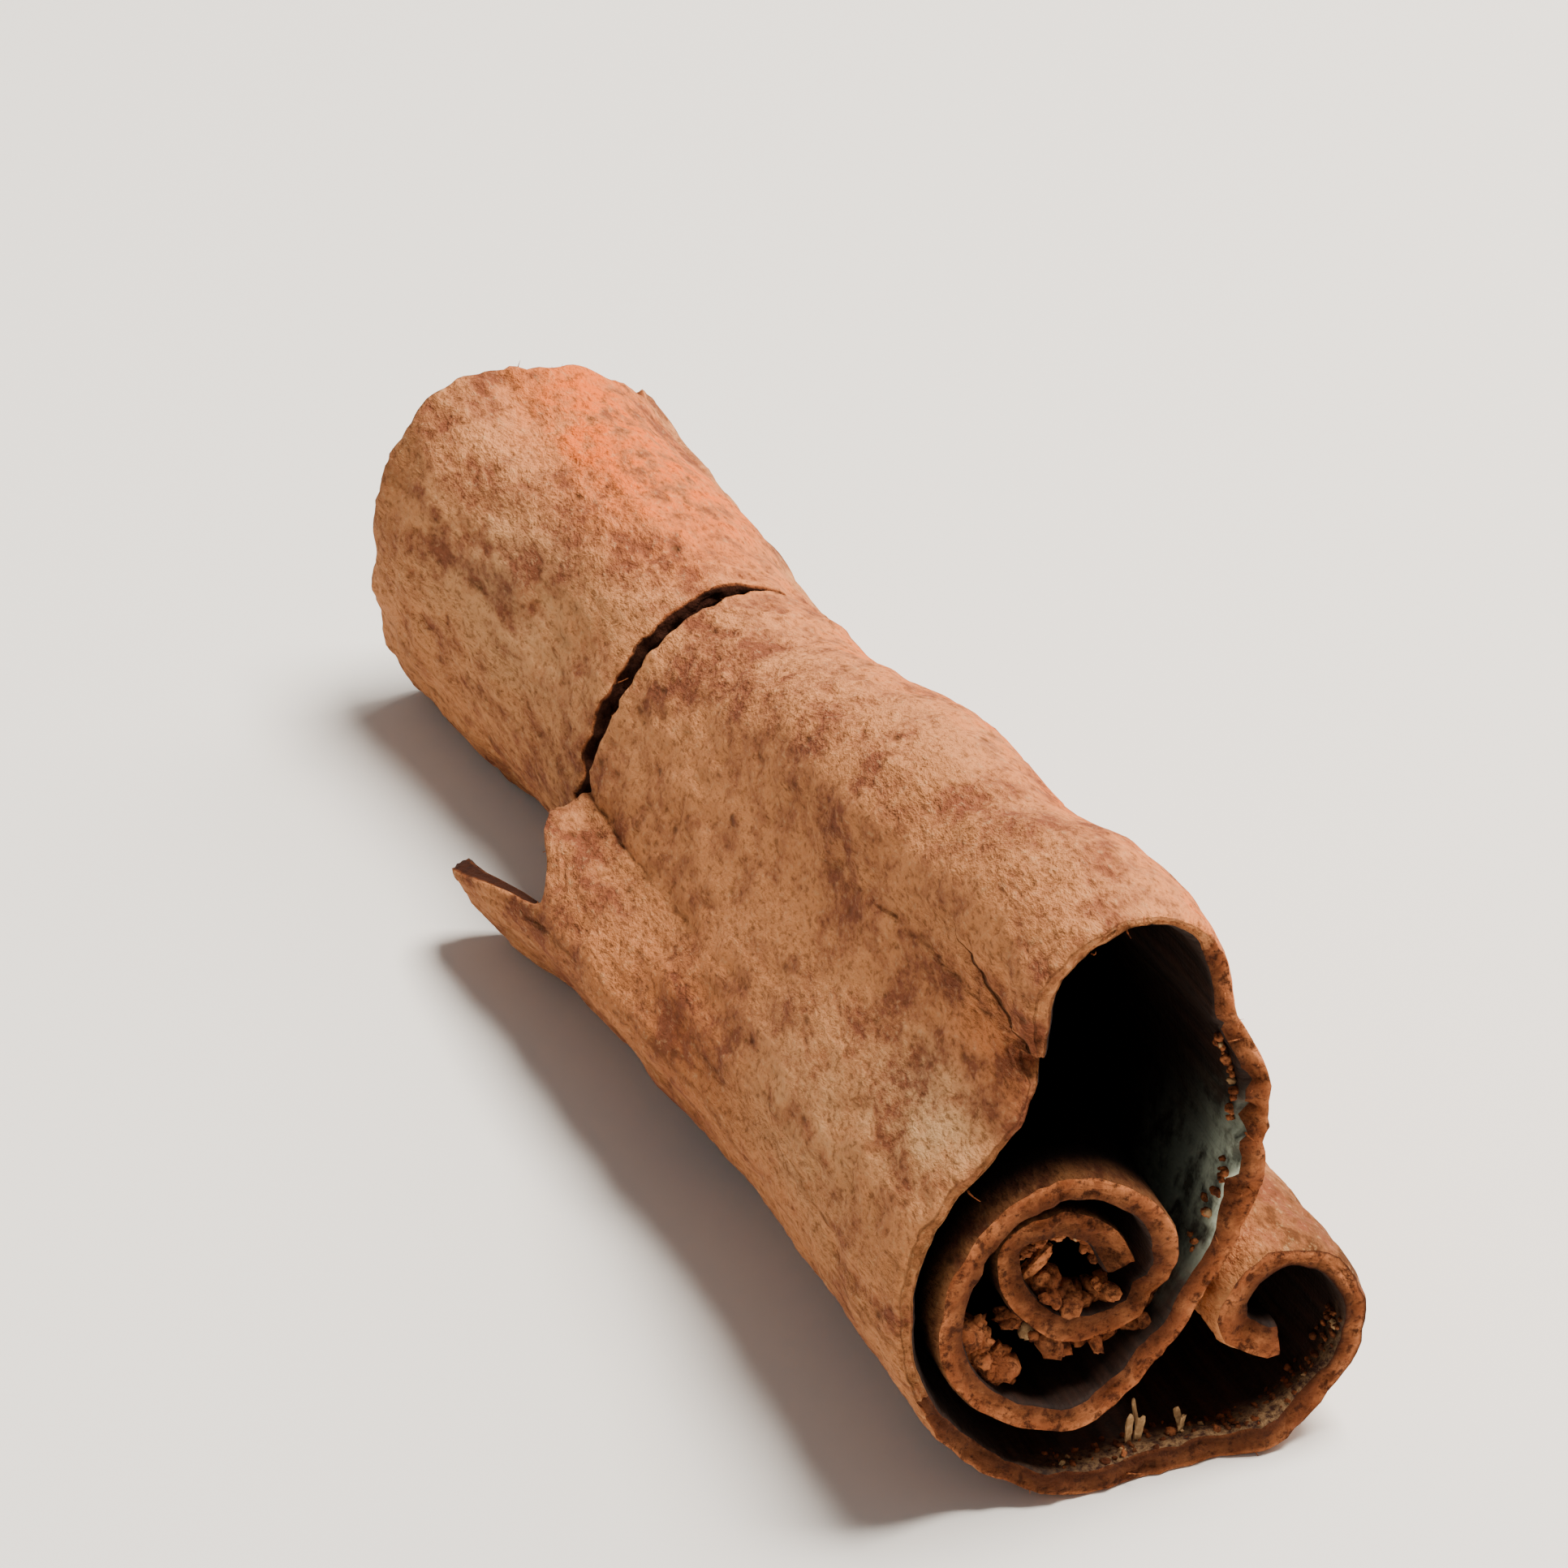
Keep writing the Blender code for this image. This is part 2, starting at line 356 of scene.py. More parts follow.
def broken_edges(places, distances):
    """Return the depths, in mm, of the front end, the crack's two sides and the back end at each column.

    Each is a smooth line with layered noise. The front side of the crack carries the notch and the
    tongue. A bite at the front, left of the upper hollow, starts the thin split that runs back from it.
    The heart of the scroll lies a little behind the rest of the front.
    """
    front = 0.25 * np.sin(4.0 * places) + 0.16 * layered(distances / 0.9, 0.0, 11)
    bite = bell(distances, distance_at(place(*BITE)), 0.34)
    tooth = bell(distances, distance_at(place("crease", 0.21)), 0.30)
    shoulder_step = strip(places, "crease", 0.30, "crease", 0.36, "crease", 0.55, "crease", 0.8)
    sunk = 1.0 - ease(place("core_right", 0.5), place("wrap_top", 0.5), places)
    front = front + 1.7 * bite - 0.3 * tooth - 0.35 * shoulder_step + 0.8 * sunk
    waves = 0.5 * np.sin(2.5 * places + 0.8) + 0.3 * np.sin(6.0 * places) + 0.12 * np.sin(13.0 * places)
    chipped = strip(places, "tuck", 0.0, "crown", 0.4, "crown", 0.8, "crown_left", 0.5)
    back = in_mm("length") - 0.65 * (1.0 - waves) + 0.2 * layered(distances / 1.4, 0.0, 12) - 1.6 * chipped
    notch = strip(places, "shoulder", 0.7, "flank", 0.05, "flank", 0.1, "flank", 0.5)
    tongue = strip(places, "flank", 0.1, "flank", 0.45, "flank", 0.6, "belly", 0.5)
    middle = in_mm("crack_depth") + 0.35 * layered(distances / 2.6, 0.0, 13)
    open_share = strip(places, "crown", 0.35, "crown_left", 0.3, "flank", 0.0, "belly", 0.95)
    gap_share = 0.15 + 0.95 * open_share + 0.25 * noise(distances / 1.1, 0.0, 14)
    half_gap = in_mm("crack_gap") / 2 * gap_share
    crack_front = middle - half_gap - in_mm("notch_depth") * notch + in_mm("tongue_length") * tongue
    crack_front = crack_front + 0.12 * layered(distances / 0.7, 0.0, 15) * open_share
    return front, crack_front, middle + half_gap, np.minimum(back, in_mm("length"))


def rolled_rows(places, distances):
    """Return the mid-surface (X, Y, Z) as rows in mm, and the rows' thickness.

    In front of the crack the bark low at the left keeps most of its width, and flares where it has
    cracked free. Shallow swells and hollows run along the crown. The tongue bends outwards, and the left
    side widens again at the back end.
    """
    front, crack_front, crack_back, back = broken_edges(places, distances)
    shares = (fine_ends(FRONT_ROWS)[:, None], fine_ends(BACK_ROWS)[:, None])
    depths = np.concatenate([front + (crack_front - front) * shares[0],
                             crack_back + (back - crack_back) * shares[1]])
    row_depths = depths.mean(axis=1)
    narrowed = narrowing(row_depths)
    tight = sections(places, narrowed)
    loose = sections(places, narrowed * 0.15)
    flare = 1.0 + 0.17 * ease(0.2, 0.6, row_depths / in_mm("length"))
    middle = np.stack([np.zeros(len(loose)), np.ptp(loose[..., 1], axis=1) / 2], axis=-1)[:, None]
    loose = middle + (loose - middle) * flare[:, None, None]
    before_crack = (np.arange(len(depths)) <= FRONT_ROWS)[:, None]
    free = strip(places, "shoulder", 0.2, "flank", 0.3, "flank", 0.75, "belly", 0.5) * before_crack
    spot = tight + (loose - tight) * free[..., None]
    rows = np.stack([spot[..., 0], depths, spot[..., 1]], axis=-1)
    crown = strip(places, "bump", 0.0, "crown", 0.5, "crown_left", 0.4, "crease", 0.2)
    swell = 0.0
    for height, swell_depth, reach in CROWN_SWELLS:
        swell = swell + height * bell(depths, swell_depth, reach)
    swell = swell + 0.15 * np.sin(depths / 3.1)
    bent = strip(places, "flank", 0.1, "flank", 0.4, "flank", 0.7, "belly", 0.4)
    bent = 1.3 * bent * ease(43.0, 54.0, depths) * before_crack
    spread = strip(places, "crown_left", 0.4, "crease", 0.4, "flank", 0.7, "belly", 0.7)
    spread = 1.7 * spread * ease(57.0, 79.0, depths)
    rows = rows + normals(rows) * (swell * crown + bent + spread)[..., None]
    return rows, thickness(narrowed)


def normals(rows):
    """Return unit normals on the sheet's outer side: along the depth crossed with along the mid-line."""
    parts = []
    for part in (rows[:FRONT_ROWS + 1], rows[FRONT_ROWS + 1:]):
        parts.append(np.cross(np.gradient(part, axis=0), np.gradient(part, axis=1)))
    crossed = np.concatenate(parts)
    return crossed / np.linalg.norm(crossed, axis=-1, keepdims=True)


def settle(rows, thicknesses):
    """Return the move, in mm, that lays the smooth sheet in the middle of the fixed solid's box."""
    offsets = normals(rows) * thicknesses[:, None, None] / 2
    skins = np.concatenate([rows + offsets, rows - offsets])
    low, high = skins.min(axis=(0, 1)), skins.max(axis=(0, 1))
    wanted = (np.array(CAD_BOX[0]) + np.array(CAD_BOX[1])) / 2 / MM
    move = wanted - (low + high) / 2
    move[2] = 0.0
    return move


def sheet():
    """Return the sheet's mid-surface in place, in mm, with its normals, thicknesses, places and distances."""
    places, distances = columns()
    rows, thicknesses = rolled_rows(places, distances)
    rows = rows + settle(rows, thicknesses)
    return rows, normals(rows), thicknesses, places, distances


def outer_relief(distances, depths, places):
    """Height of the outer skin in mm: bumps, streaks along the stick, pits, and the thin split's groove.

    It is lower in the scroll, and the strip that the stick lies on is almost level.
    """
    shown = 0.35 + 0.65 * ease(place("rise", 0.8), place("right_wall", 0.5), places)
    level = strip(places, "belly", 0.5, "rest", 0.0, "keel", 0.5, "lobe_side", 0.0)
    height = in_mm("relief")
    bumps = layered(distances / 3.4, depths / 4.4, 21) + 0.55 * layered(distances / 1.2, depths / 1.5, 31)
    streaks = layered(distances / 0.9, depths / 8.0, 41, octaves=2)
    low_side = strip(places, "shoulder", 0.0, "flank", 0.0, "keel", 0.0, "lobe_side", 0.0)
    scars = pits(distances / 2.1, depths / 2.4, 51) + 0.6 * pits(distances / 1.1, depths / 1.3, 61)
    raised = height * (bumps + (0.3 + 0.5 * low_side) * streaks) - 1.2 * height * scars
    groove = 0.25 * bell(beside_split(distances, depths), 0.0, 0.35)
    return (raised * shown - groove) * (1 - 0.9 * level)


def beside_split(distances, depths):
    """Signed distance in mm from the thin split that runs back from the bite in the front edge.

    It is divided by how open the split still is, so that the line breaks up and ends further back.
    """
    line = distance_at(place(*BITE)) - 0.25 * depths + 0.18 * noise(depths / 1.3, 0.0, 72)
    dotted = np.clip(0.75 + 0.65 * noise(depths / 0.9, 0.0, 71), 0.05, 1.0)
    return (distances - line) / (dotted * (1.0 - ease(6.0, 11.0, depths)) + 0.02)


def inner_relief(distances, depths, places):
    """Height of the inner skin in mm: fine ribs along the stick, crumbled bites and a rough crust.

    The bites are at the front of the right wall, and the crust lies along the front of the floor.
    """
    ribs = 0.05 * layered(distances / 0.8, depths / 12.0, 81, octaves=2)
    ribs = ribs + 0.05 * layered(distances / 2.0, depths / 3.0, 91)
    right = strip(places, "right_wall", 0.25, "right_wall", 0.5, "bump", 0.5, "crown", 0.2)
    bites = pits(distances / 1.15, depths / 2.2 + 0.35, 101) * (1 - ease(0.8, 2.6, depths))
    crust = (0.10 + 0.14 * layered(distances / 0.7, depths / 0.7, 151)) * crust_share(places, depths)
    return ribs - 0.55 * bites * right + crust


def crust_share(places, depths):
    """How much of the crumbly crust on the quill's floor lies at each point of the inner face."""
    across_floor = strip(places, "belly", 0.2, "rest", 0.4, "lobe_side", 0.0, "lobe_top", 0.3)
    return across_floor * (1.0 - ease(0.8, 2.6, depths))


def mesh_object(name, vertices, faces, smooth=True):
    """Make an object from vertices in mm and a list or array of faces, and put it in the scene."""
    mesh = bpy.data.meshes.new(name)
    faces = faces if isinstance(faces, list) else faces.tolist()
    mesh.from_pydata((np.asarray(vertices) * MM).tolist(), [], faces)
    mesh.polygons.foreach_set("use_smooth", np.full(len(mesh.polygons), smooth))
    mesh.update()
    piece = bpy.data.objects.new(name, mesh)
    bpy.context.collection.objects.link(piece)
    return piece


def add_slots(piece, *names, pale=()):
    """Give a piece its materials, and let it ride on the stick as bark.

    Where pale is true for a lump, all its faces get the second material.
    """
    for name in names:
        piece.data.materials.append(bpy.data.materials[name])
    if len(pale):
        indices = np.repeat(pale, len(piece.data.polygons) // len(pale))
        piece.data.polygons.foreach_set("material_index", indices.astype(np.int32))
    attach(piece, "root")


def sheet_cells(row_count, places):
    """Return the outer skin's quads, with the crack left open across the outer wrap."""
    cracked = (places >= place("crown", 0.4)) & (places <= place("belly", 0.9))
    kept = np.ones((row_count - 1, len(places) - 1), dtype=bool)
    kept[FRONT_ROWS] = ~(cracked[:-1] & cracked[1:])
    corner = (np.arange(row_count - 1)[:, None] * len(places) + np.arange(len(places) - 1))[kept]
    return np.stack([corner, corner + len(places), corner + len(places) + 1, corner + 1], axis=1)


def open_edges(faces, count):
    """Return the directed edges that belong to one face only."""
    edges = np.concatenate([faces[:, [side, (side + 1) % 4]] for side in range(4)])
    codes = edges[:, 0] * count + edges[:, 1]
    backward = edges[:, 1] * count + edges[:, 0]
    return edges[~np.isin(backward, codes)]


def roll_bark():
    """Return the closed bark's vertices in mm, its faces, each face's kind and each vertex's attributes.

    The outer skin is the mid-surface plus half the thickness and its relief along the normal, and the
    inner skin is the same on the other side. The ends are a little thinner, the lip is thicker, and the
    front edge of the crown, shoulder and flank is worn thin. Every open edge is closed by a strip of
    levels from one skin to the other, roughened out of its own plane, so that it looks broken, not cut.
    """
    rows, normal, thicknesses, places, distances = sheet()
    depths = rows[..., 1] - rows[..., 1].min()
    half = thicknesses[:, None] / 2 * (1 + 0.10 * layered(distances / 5.0, depths / 9.0, 111))
    resting = strip(places, "belly", 0.5, "rest", 0.0, "keel", 0.0, "keel", 0.6)
    half = half + (thicknesses[:, None] / 2 - half) * resting
    half[[0, FRONT_ROWS, FRONT_ROWS + 1, len(rows) - 1]] *= 0.86
    half = half * (1.0 + 0.4 * ease(place("lobe_back", 0.6), place("lip", 0.5), places))
    rolled = strip(places, "crown", 0.2, "crown", 0.6, "flank", 0.0, "belly", 0.0)
    thinned = 0.42 * thicknesses[:, None] * rolled * (1.0 - ease(0.0, 2.2, depths))
    raised = outer_relief(distances, depths, places)
    outer = rows + normal * (half + raised - 0.25 * thinned)[..., None]
    inner = rows - normal * (half + inner_relief(distances, depths, places) - thinned)[..., None]
    outer[..., 2] = np.maximum(outer[..., 2], 0.0)
    teeth = strip(places, "right_wall", 0.3, "right_wall", 0.6, "tuck", 0.0, "crown", 0.3)
    crumbled = 0.25 - 0.45 * rolled + 0.5 * noise(distances / 0.9, 0.0, 141) + 0.3 * teeth
    for row, share in enumerate((1.0, 0.62, 0.3, 0.1)):
        inner[row, :, 1] += (0.35 + 0.6 * teeth) * share * np.clip(crumbled, 0.0, 1.0)

    count = outer.shape[0] * outer.shape[1]
    skin = sheet_cells(len(rows), places)
    edges = open_edges(skin, count)
    rim = np.unique(edges)
    flat_outer, flat_inner = outer.reshape(-1, 3), inner.reshape(-1, 3)
    levels = np.arange(1, EDGE_LEVELS) / EDGE_LEVELS
    between = flat_outer[rim] + (flat_inner[rim] - flat_outer[rim]) * levels[:, None, None]
    row, column = rim // len(places), rim % len(places)
    side = np.select([row == 0, row == FRONT_ROWS, row == FRONT_ROWS + 1, row == len(rows) - 1],
                     [-1.0, 1.0, -1.0, 1.0], 0.0)
    rough = layered(distances[column] / 0.8, levels[:, None] * 3.1, 121)
    grain = noise(distances[column] / 0.4, levels[:, None] * 7.0, 131)
    swell = np.sin(math.pi * levels)[:, None]
    between[..., 1] += side * (0.16 * rough + 0.10 * grain + 0.05) * swell

    lookup = np.full(count, -1)
    lookup[rim] = np.arange(len(rim))
    chain = [edges, *[2 * count + level * len(rim) + lookup[edges] for level in range(EDGE_LEVELS - 1)],
             edges + count]
    strips = [np.stack([near[:, 1], near[:, 0], far[:, 0], far[:, 1]], axis=1)
              for near, far in zip(chain, chain[1:])]
    faces = np.concatenate([skin, skin[:, ::-1] + count, *strips])
    # The worn front edge looks like the outer bark. The other broken edges are darker: painted shade in the
    # crack and in the scroll's heart; under the scroll partly darker bark and partly painted shade.
    worn = (edges.max(axis=1) < len(places)) & (rolled[edges[:, 0] % len(places)] > 0.6)
    under = strip(places, "crease", 0.4, "shoulder", 0.0, "keel", 0.0, "lobe_side", 0.8)
    heart = 1.0 - ease(place("wrap_top"), place("wrap_top", 0.4), places)
    in_crack = (row == FRONT_ROWS) | (row == FRONT_ROWS + 1)
    shade = np.where(in_crack, 1.3, (0.9 * under + 0.45 * heart)[column])
    kinds = np.concatenate([np.repeat([OUTER, INNER], len(skin)),
                            np.tile(np.where(worn, OUTER, BROKEN), EDGE_LEVELS)])
    vertices = np.concatenate([flat_outer, flat_inner, between.reshape(-1, 3)])
    skins = {"places": np.tile(places, len(rows)), "depths": depths.reshape(-1),
             "distances": np.tile(distances, len(rows)), "edge_tone_and_painted_shade": np.tile(shade, EDGE_LEVELS - 1),
             "edge_layer": np.repeat(levels, len(rim))}
    return vertices, faces, kinds, skins


def patch(places, depths, stretch, share, depth, across, along):
    """A soft oval patch round a place on the sheet: across in stretches and along in mm."""
    away = ((places - place(stretch, share)) / across) ** 2 + ((depths - depth) / along) ** 2
    return np.exp(-away)


def bark_marks(places, distances, depths):
    """Return the bark's marks, and the distance from the split.

    They are the bloom on the inner face, the pale crust, scraped reddish bark, stains together with the
    painted shadow on the lobe's top, streaks, painted shade on the outer bark inside the hollow, and the
    crust on the floor. Patches of one mark are added up.
    """
    marks = {}
    for name, patches in PATCHES.items():
        total = 0.0
        for strength, *spot in patches:
            total = total + strength * patch(places, depths, *spot)
        marks[name] = np.clip(total, 0, STRONGEST[name])
    marks["streak"] = strip(places, "crease", 0.8, "flank", 0.2, "lobe_side", 0.0, "lobe_top", 0.0)
    marks["split"] = beside_split(distances, depths)
    # Painted shade: the outer bark inside the hollow gets darker with depth, as light hardly reaches it.
    painted_hollow_shade = 1.0 - ease(place("wrap_floor", 0.8), place("rise", 0.5), places)
    marks["painted_hollow_shade"] = painted_hollow_shade * (0.6 + 0.4 * ease(0.0, 3.0, depths))
    marks["crust"] = crust_share(places, depths)
    return marks


def set_attribute(piece, name, values):
    """Store a number, or a vector, for each vertex."""
    values = np.asarray(values, dtype=np.float32)
    kind, key = ("FLOAT", "value") if values.ndim == 1 else ("FLOAT_VECTOR", "vector")
    piece.data.attributes.new(name, kind, "POINT").data.foreach_set(key, values.reshape(-1))


# Indices of a colour Mix node's sockets.
FACTOR, FIRST, SECOND, MIXED = 0, 6, 7, 2


def rgba(colour):
    """Return a plain colour with full alpha, or another node's output as it is."""
    return colour if isinstance(colour, bpy.types.NodeSocket) else (*colour, 1.0)


class Finish:
    """A material in the making. Its methods add nodes and return their outputs."""

    def __init__(self, name, roughness, specular):
        self.material = bpy.data.materials.new(name)
        self.material.use_nodes = True
        self.tree = self.material.node_tree
        self.shader = self.tree.nodes["Principled BSDF"]
        self.shader.inputs["Roughness"].default_value = roughness
        self.shader.inputs["Specular IOR Level"].default_value = specular
        self.where = self.add("TexCoord", output="Object")

    def add(self, kind, inputs=None, output=0, **settings):
        """Add a node. Settings go on the node itself; inputs take a value or another node's output."""
        made = self.tree.nodes.new("ShaderNode" + kind)
        for name, value in settings.items():
            setattr(made, name, value)
        for key, value in (inputs or {}).items():
            if isinstance(value, bpy.types.NodeSocket):
                self.tree.links.new(value, made.inputs[key])
            else:
                made.inputs[key].default_value = value
        return made.outputs[output]

    def noise(self, where, size, detail, roughness=0.6):
        """Noise whose features are a number of millimetres wide."""
        return self.add("TexNoise", {"Vector": where, "Scale": 1.0 / (size * MM), "Detail": detail,
                                     "Roughness": roughness}, "Fac")

    def cells(self, where, size):
        """Cells a number of millimetres wide, as the distance from the middle of each."""
        return self.add("TexVoronoi", {"Vector": where, "Scale": 1.0 / (size * MM)}, "Distance")

    def fit(self, value, low, high, to_low=0.0, to_high=1.0):
        """Stretch a range of values onto another, and clamp it."""
        return self.add("MapRange", {"Value": value, "From Min": low, "From Max": high,
                                     "To Min": to_low, "To Max": to_high})

    def blend(self, factor, first, second):
        """Blend two colours, each a plain colour or another node's output."""
        return self.add("Mix", {FACTOR: factor, FIRST: rgba(first), SECOND: rgba(second)}, MIXED,
                        data_type="RGBA")

    def math(self, operation, *values):
        """Combine values with a Math node, in the order of its inputs."""
        return self.add("Math", dict(enumerate(values)), operation=operation)

    def drawn_out(self, where, scale):
        """Scale coordinates along the stick, so that a texture on them is drawn out that way."""
        return self.add("Mapping", {"Vector": where, "Scale": (1.0, scale, 1.0)})

    def mark(self, name, output="Fac"):
        """Read one of the sheet's own attributes."""
        return self.add("Attribute", None, output, attribute_name=name)

    def done(self, colour, heights):
        """Colour the shader, and bump it by a sum of values, each times its height in metres."""
        self.tree.links.new(colour, self.shader.inputs["Base Color"])
        total = 0.0
        for value, height in heights:
            total = self.math("MULTIPLY_ADD", value, height, total)
        bump = self.add("Bump", {"Height": total, "Distance": 1.0, "Strength": 1.0})
        self.tree.links.new(bump, self.shader.inputs["Normal"])
        return self.material


def outer_bark():
    """Dry outer cassia bark, scraped and sun dried: matte, mottled tan and brown, grainy, with pits."""
    colours = bpy.context.scene.cinnamon_colours
    bark = Finish("cassia_outer_bark", 0.9, 0.08)
    along = bark.drawn_out(bark.mark("unrolled", "Vector"), 0.09)
    # The blotches and pits are twice as long as they are wide, along the stick.
    longer = bark.drawn_out(bark.where, 0.5)
    broad = bark.noise(longer, 7.0, 2.0)
    blotch = bark.noise(longer, 2.2, 6.0, 0.64)
    fleck = bark.noise(longer, 0.8, 5.0, 0.66)
    grain = bark.noise(longer, 0.28, 3.0, 0.7)
    streaks = bark.noise(along, 0.8, 3.0)
    cells = bark.cells(longer, 1.3)
    pit = bark.math("MULTIPLY", bark.fit(cells, 0.06, 0.20, 1.0, 0.0), bark.fit(blotch, 0.42, 0.56, 1.0, 0.0))

    mottle = bark.math("MULTIPLY_ADD", broad, 0.7, blotch)
    mottle = bark.math("MULTIPLY_ADD", fleck, 0.6, mottle)
    colour = bark.blend(bark.fit(mottle, 0.98, 1.22), colours.brown, colours.tan)
    # Each mark frays along the blotches and flecks.
    fray = bark.fit(bark.math("ADD", blotch, fleck), 0.84, 1.16, 0.1, 1.5)
    # The stain mark is partly real stains and partly painted shadow, as on the lobe's top.
    for name, tone, strength in (("pale", colours.pale, 0.45), ("rust", colours.rust, 0.9),
                                 ("stain_and_shade", colours.pit, 0.5)):
        mark = bark.math("MULTIPLY", bark.mark(name), fray)
        mark = bark.math("MINIMUM", bark.math("MULTIPLY", mark, strength), 1.0)
        colour = bark.blend(mark, colour, tone)
    lines = bark.fit(streaks, 0.52, 0.64, 0.0, 0.45)
    colour = bark.blend(bark.math("MULTIPLY", lines, bark.mark("streak")), colour, colours.pit)
    colour = bark.blend(bark.fit(grain, 0.56, 0.72, 0.0, 0.28), colour, colours.pale)
    speckle = bark.fit(grain, 0.34, 0.49, 0.6, 0.0)
    split = bark.fit(bark.math("ABSOLUTE", bark.mark("split")), 0.06, 0.20, 1.0, 0.0)
    dark = bark.math("MAXIMUM", speckle, bark.math("MULTIPLY", pit, 0.8))
    colour = bark.blend(bark.math("MAXIMUM", dark, split), colour, colours.pit)
    # Painted shade: the outer bark deep inside the hollow is blended almost to black, as light hardly reaches
    # it.
    colour = bark.blend(bark.mark("painted_hollow_shade"), colour, [0.12 * part for part in colours.inner])
    return bark.done(colour, ((grain, 0.00016), (fleck, 0.00032), (blotch, 0.00040), (streaks, 0.00008),
                              (pit, -0.00013), (split, -0.00020)))


def inner_bark():
    """Smooth inner cassia bark: dark red-brown made nearly black as painted shade for the deep hollow,
    fine ribs along the stick, a grey-green bloom in places.

    A brown, crumbly crust lies on the floor of the quill.
    """
    colours = bpy.context.scene.cinnamon_colours
    bark = Finish("cassia_inner_bark", 0.75, 0.25)
    along = bark.drawn_out(bark.mark("unrolled", "Vector"), 0.06)
    ribs = bark.noise(along, 0.5, 4.0)
    cloud = bark.noise(bark.where, 1.6, 4.0, 0.65)
    colour = bark.blend(bark.fit(ribs, 0.38, 0.62), [0.35 * part for part in colours.inner], colours.inner)
    bloom = bark.math("MULTIPLY", bark.mark("bloom"), bark.fit(cloud, 0.40, 0.56, 0.25, 1.3))
    colour = bark.blend(bark.math("MINIMUM", bloom, 1.0), colour, colours.bloom)
    grains = bark.noise(bark.where, 0.35, 4.0, 0.7)
    crumbly = bark.blend(bark.fit(grains, 0.40, 0.62), colours.broken_dark, colours.crust)
    colour = bark.blend(bark.mark("crust"), colour, crumbly)
    rough = bark.math("MULTIPLY", bark.mark("crust"), grains)
    return bark.done(colour, ((ribs, 0.00012), (cloud, 0.00018), (rough, 0.00045)))


def broken_bark():
    """Broken cassia bark: rough, corky and red-brown, with paler chips and dark gaps between the fibres."""
    colours = bpy.context.scene.cinnamon_colours
    bark = Finish("broken_bark", 0.9, 0.1)
    grains = bark.noise(bark.where, 0.45, 5.0, 0.7)
    broad = bark.noise(bark.where, 1.5, 3.0)
    lump = bark.cells(bark.where, 0.55)
    colour = bark.blend(bark.fit(broad, 0.44, 0.62), colours.broken, colours.broken_light)
    dark = colours.broken_dark
    colour = bark.blend(bark.fit(grains, 0.38, 0.52, 0.85, 0.0), colour, dark)
    colour = bark.blend(bark.fit(lump, 0.55, 0.90, 0.0, 0.35), colour, dark)
    # The bark's inner layers are darker than its outer ones.
    depth = bark.math("MULTIPLY_ADD", grains, 1.2, bark.mark("layer"))
    colour = bark.blend(bark.fit(depth, 0.75, 1.5, 0.0, 0.75), colour, dark)
    # This mark darkens the edges: painted shade in the crack and the scroll's heart, partly darker bark under
    # the scroll. On the crumbs it is each heap's own darkness.
    colour = bark.blend(bark.math("MULTIPLY", bark.mark("stain_and_shade"), 0.75), colour, dark)
    return bark.done(colour, ((grains, 0.00040), (lump, -0.00020)))


def bark_chips():
    """Chips and splinters of the bark's paler middle: light brown, matte."""
    colours = bpy.context.scene.cinnamon_colours
    bark = Finish("bark_chips", 0.85, 0.2)
    grains = bark.noise(bark.where, 0.3, 3.0, 0.65)
    colour = bark.blend(bark.fit(grains, 0.45, 0.90), colours.crust, colours.pale)
    return bark.done(colour, ((grains, 0.00008),))


def on_sheet(spots, depths, lifts):
    """Return points in mm at places and depths on the sheet, a height above its skin.

    Negative heights lie on the inner side.
    """
    rows, normal, thicknesses, places, _ = sheet()
    column = np.searchsorted(places, spots)
    row = np.searchsorted(rows[:, 0, 1] - rows[0, 0, 1], depths)
    away = np.sign(lifts) * thicknesses[row] / 2 + lifts
    return rows[row, column] + normal[row, column] * away[:, None]


def lump_faces(rings, spokes):
    """Return the triangles of a ball of rings and spokes with a point at each pole."""
    ring, spoke = np.meshgrid(np.arange(rings - 1), np.arange(spokes), indexing="ij")
    here, beside = 1 + ring * spokes + spoke, 1 + ring * spokes + (spoke + 1) % spokes
    lower = np.stack([here, here + spokes, beside + spokes], axis=-1).reshape(-1, 3)
    upper = np.stack([here, beside + spokes, beside], axis=-1).reshape(-1, 3)
    turn = np.arange(spokes)
    last = 1 + (rings - 1) * spokes
    top = np.stack([0 * turn, 1 + turn, 1 + (turn + 1) % spokes], axis=-1)
    bottom = np.stack([0 * turn + last + spokes, last + (turn + 1) % spokes, last + turn], axis=-1)
    return np.concatenate([lower, upper, top, bottom])


